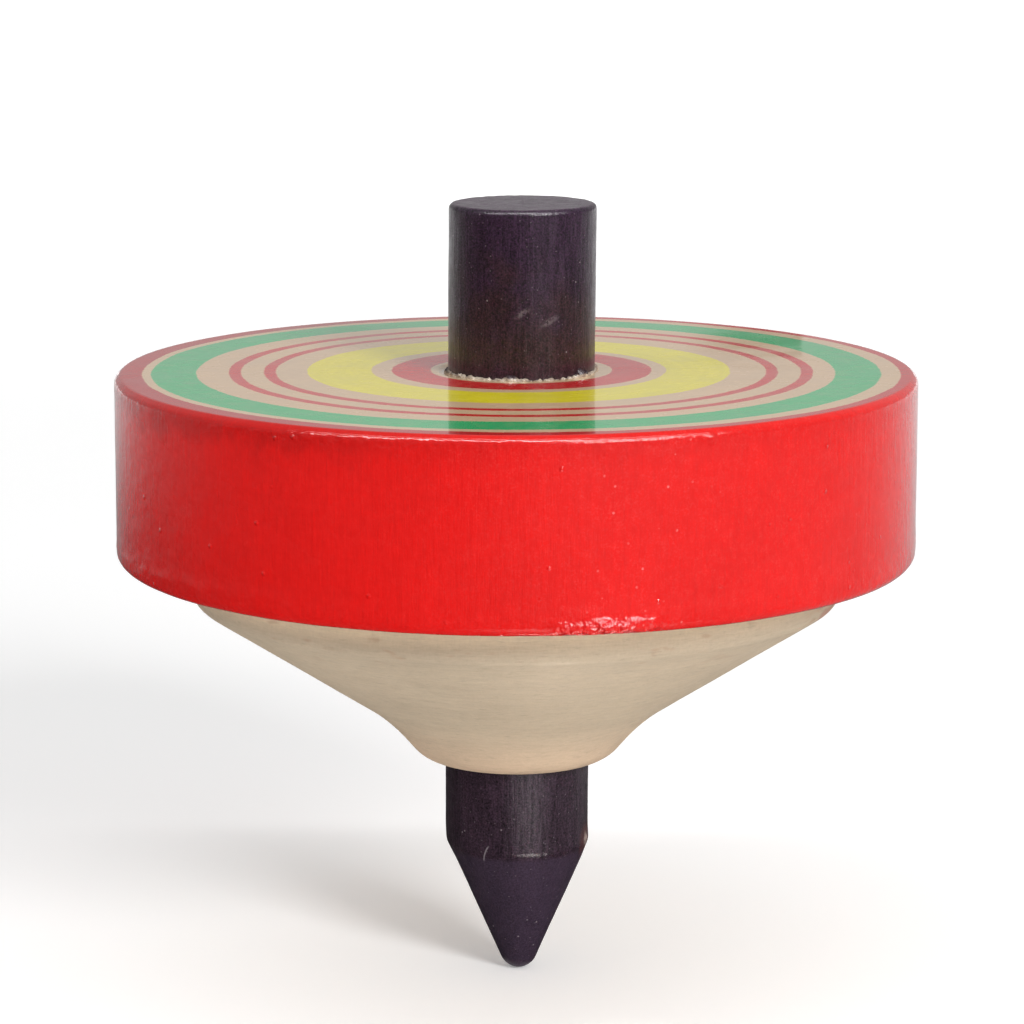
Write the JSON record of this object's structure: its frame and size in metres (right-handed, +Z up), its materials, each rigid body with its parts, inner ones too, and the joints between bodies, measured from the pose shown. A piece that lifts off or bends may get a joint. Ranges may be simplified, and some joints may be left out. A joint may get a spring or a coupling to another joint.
{
  "type": "spinning top",
  "caption": "Hand-spun wooden top: flat painted disc with a conical underside on a through spindle with a pointed lower end.",
  "frame": {"origin": "the point that the top spins on, at the lower tip of the spindle", "axes": "+Z up the spin axis, from the tip to the finger end of the spindle; the part is round, so +X and +Y are any two directions across it"},
  "size_m": [0.065, 0.065, 0.0639],
  "materials": {
    "painted_hardwood": "pale close-grained hardwood; glossy red lacquer on the rim, red, yellow and green rings under clear gloss on the flat face, bare sanded wood underneath",
    "stained_hardwood": "dowel stained dark aubergine under a thin satin lacquer"
  },
  "bodies": {
    "root": {"disc_body": "painted_hardwood", "spindle": "stained_hardwood"}
  },
  "joints": []
}
